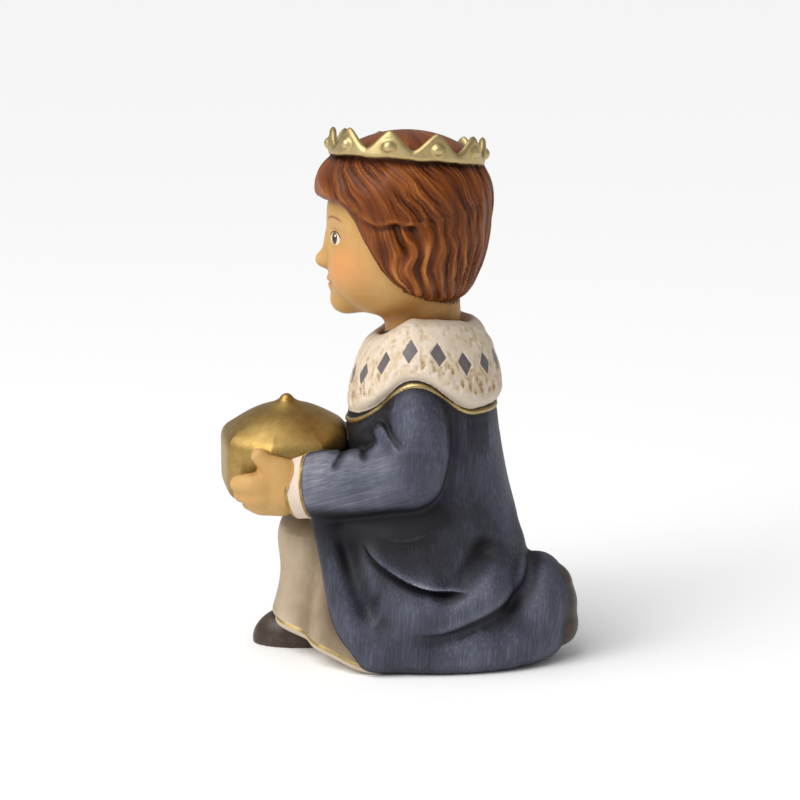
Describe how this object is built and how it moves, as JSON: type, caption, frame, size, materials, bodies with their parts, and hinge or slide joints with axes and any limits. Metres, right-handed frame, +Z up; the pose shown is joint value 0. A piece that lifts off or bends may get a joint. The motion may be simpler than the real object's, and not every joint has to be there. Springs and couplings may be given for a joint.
{
  "type": "nativity king figurine",
  "caption": "Painted bisque porcelain nativity figurine of a kneeling young king in a crown and fur collar, holding out a low eight-sided gold casket; stands on its flat underside.",
  "frame": {"origin": "middle of the bounding box, at the level of the surface the figurine stands on", "axes": "+Z up; the figure faces -Y; its left side, with the knee on the ground, is +X"},
  "size_m": [0.0429, 0.0709, 0.1046],
  "materials": {
    "painted_bisque": "matte bisque with brushed paint; satin gold on crown, casket and edges"
  },
  "bodies": {
    "root": {"figurine": "painted_bisque"}
  },
  "joints": []
}
